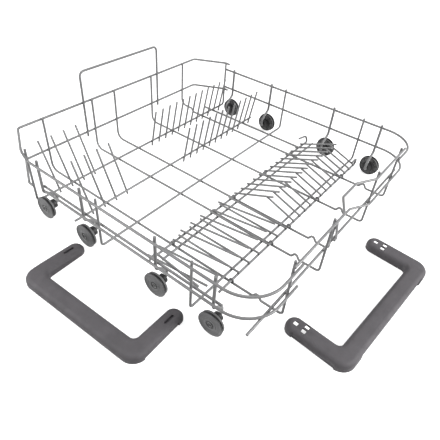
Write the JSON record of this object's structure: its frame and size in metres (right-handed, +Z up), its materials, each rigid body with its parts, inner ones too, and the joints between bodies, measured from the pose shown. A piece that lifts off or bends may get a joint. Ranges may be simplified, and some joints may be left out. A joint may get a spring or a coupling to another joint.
{
  "type": "dishwasher basket",
  "caption": "Lower dishwasher basket of grey coated wire on wheels, with fixed tines, folding plate racks, a back arch and clip-on grips lying beside it.",
  "frame": {"origin": "on the track plane that the wheels run on, midway between the left and right wheels and midway between the front and rear wheels", "axes": "+X to the right, +Y to the back of the tub along the track, +Z up"},
  "size_m": [0.6191, 0.6298, 0.176],
  "materials": {
    "coated_wire": "satin grey coating",
    "wheel": "moulded grey plastic",
    "shaft_clip": "black plastic",
    "grip": "fine-grained dark grey plastic"
  },
  "bodies": {
    "basket": {"upper_rim_left": "coated_wire", "upper_rim_right": "coated_wire", "lower_rim_left": "coated_wire", "lower_rim_right": "coated_wire", "front_upper_rail": "coated_wire", "front_lower_rail": "coated_wire", "left_inner_rail": "coated_wire", "back_mid_rail": "coated_wire", "back_arch": "coated_wire", "rear_cross_wire": "coated_wire", "middle_cross_wire": "coated_wire", "front_cross_wire": "coated_wire", "left_outer_wire": "coated_wire", "left_inner_wire": "coated_wire", "middle_wire": "coated_wire", "right_inner_wire": "coated_wire", "right_outer_wire": "coated_wire", "right_edge_wire": "coated_wire", "tine_rod": "coated_wire", "rack_rest_rod": "coated_wire", "rear_left_tines": "coated_wire", "rear_right_tines": "coated_wire", "middle_left_tines": "coated_wire", "middle_right_tines": "coated_wire", "rear_axle_staples": "coated_wire", "front_axle_staples": "coated_wire", "left_front_wheel_wire": "coated_wire", "left_front_middle_wheel_wire": "coated_wire", "left_rear_middle_wheel_wire": "coated_wire", "left_rear_wheel_wire": "coated_wire", "right_front_wheel_wire": "coated_wire", "right_front_middle_wheel_wire": "coated_wire", "right_rear_middle_wheel_wire": "coated_wire", "right_rear_wheel_wire": "coated_wire", "wheel_caps": "shaft_clip", "side_grip": "grip", "front_grip": "grip"},
    "rear_left_rack": {"rear_left_axle": "coated_wire", "rear_left_rack_tines": "coated_wire"},
    "rear_right_rack": {"rear_right_axle": "coated_wire", "rear_right_rack_tines": "coated_wire"},
    "front_left_rack": {"front_left_axle": "coated_wire", "front_left_rack_tines": "coated_wire"},
    "front_right_rack": {"front_right_axle": "coated_wire", "front_right_rack_tines": "coated_wire"},
    "left_front_wheel": {"left_front_wheel": "wheel"},
    "left_front_middle_wheel": {"left_front_middle_wheel": "wheel"},
    "left_rear_middle_wheel": {"left_rear_middle_wheel": "wheel"},
    "left_rear_wheel": {"left_rear_wheel": "wheel"},
    "right_front_wheel": {"right_front_wheel": "wheel"},
    "right_front_middle_wheel": {"right_front_middle_wheel": "wheel"},
    "right_rear_middle_wheel": {"right_rear_middle_wheel": "wheel"},
    "right_rear_wheel": {"right_rear_wheel": "wheel"}
  },
  "joints": [
    {"name": "rear_left_fold", "type": "hinge", "parent": "basket", "child": "rear_left_rack", "pos_m": [0, -0.0358, 0.0203], "axis": [-1, 0, 0], "range_deg": [-8.8, 81.2]},
    {"name": "rear_right_fold", "type": "hinge", "parent": "basket", "child": "rear_right_rack", "pos_m": [0, -0.0358, 0.0203], "axis": [-1, 0, 0], "range_deg": [-22.5, 67.5]},
    {"name": "front_left_fold", "type": "hinge", "parent": "basket", "child": "front_left_rack", "pos_m": [0, -0.1494, 0.0203], "axis": [1, 0, 0], "range_deg": [0, 89]},
    {"name": "front_right_fold", "type": "hinge", "parent": "basket", "child": "front_right_rack", "pos_m": [0, -0.1494, 0.0203], "axis": [1, 0, 0], "range_deg": [-20, 70]},
    {"name": "left_front_wheel_roll", "type": "hinge", "parent": "basket", "child": "left_front_wheel", "pos_m": [-0.2494, -0.1735, 0.0196], "axis": [1, 0, 0], "continuous": true},
    {"name": "left_front_middle_wheel_roll", "type": "hinge", "parent": "basket", "child": "left_front_middle_wheel", "pos_m": [-0.2494, -0.0741, 0.0196], "axis": [1, 0, 0], "continuous": true},
    {"name": "left_rear_middle_wheel_roll", "type": "hinge", "parent": "basket", "child": "left_rear_middle_wheel", "pos_m": [-0.2494, 0.0741, 0.0196], "axis": [1, 0, 0], "continuous": true},
    {"name": "left_rear_wheel_roll", "type": "hinge", "parent": "basket", "child": "left_rear_wheel", "pos_m": [-0.2494, 0.1735, 0.0196], "axis": [1, 0, 0], "continuous": true},
    {"name": "right_front_wheel_roll", "type": "hinge", "parent": "basket", "child": "right_front_wheel", "pos_m": [0.2494, -0.1735, 0.0196], "axis": [1, 0, 0], "continuous": true},
    {"name": "right_front_middle_wheel_roll", "type": "hinge", "parent": "basket", "child": "right_front_middle_wheel", "pos_m": [0.2494, -0.0741, 0.0196], "axis": [1, 0, 0], "continuous": true},
    {"name": "right_rear_middle_wheel_roll", "type": "hinge", "parent": "basket", "child": "right_rear_middle_wheel", "pos_m": [0.2494, 0.0741, 0.0196], "axis": [1, 0, 0], "continuous": true},
    {"name": "right_rear_wheel_roll", "type": "hinge", "parent": "basket", "child": "right_rear_wheel", "pos_m": [0.2494, 0.1735, 0.0196], "axis": [1, 0, 0], "continuous": true}
  ]
}
